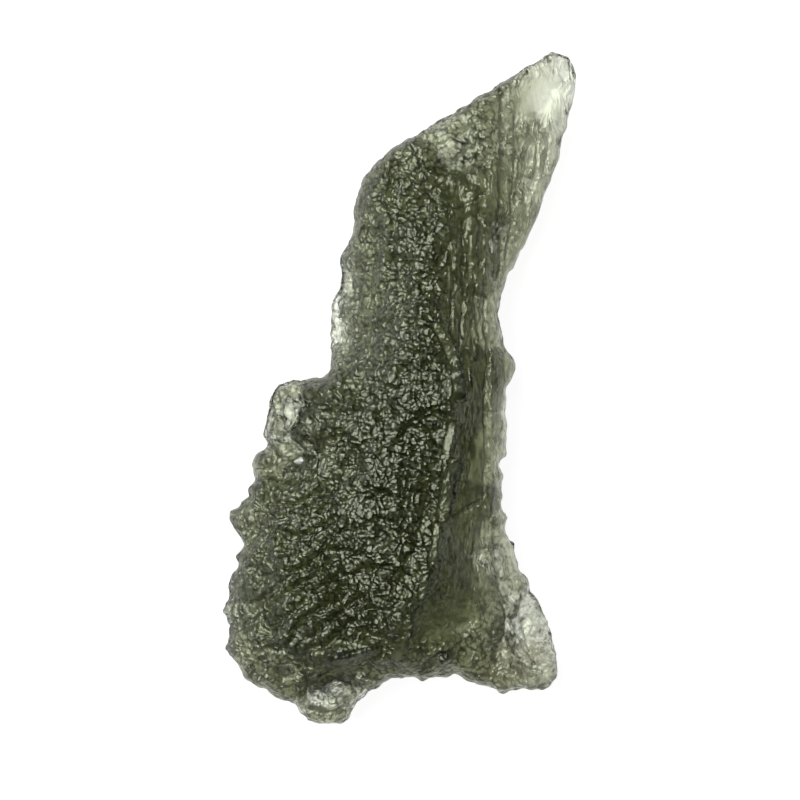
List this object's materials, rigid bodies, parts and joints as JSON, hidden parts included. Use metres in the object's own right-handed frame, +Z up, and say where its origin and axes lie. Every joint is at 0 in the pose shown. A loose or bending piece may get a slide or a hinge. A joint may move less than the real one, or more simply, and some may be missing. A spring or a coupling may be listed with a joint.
{
  "type": "moldavite tektite",
  "caption": "Jagged blade of natural green impact glass with an etched, pitted and fluted surface, lying flat.",
  "frame": {"origin": "middle of the bounding box in plan, at the height of the flat patches the stone rests on", "axes": "+Z up out of the seen face, +Y along the stone towards the thin pointed wing, +X towards the wing's side"},
  "size_m": [0.0176, 0.0336, 0.0064],
  "materials": {
    "tektite_glass": "natural olive-green glass, etched and pitted, glossy in the pits"
  },
  "bodies": {
    "root": {"tektite": "tektite_glass"}
  },
  "joints": []
}
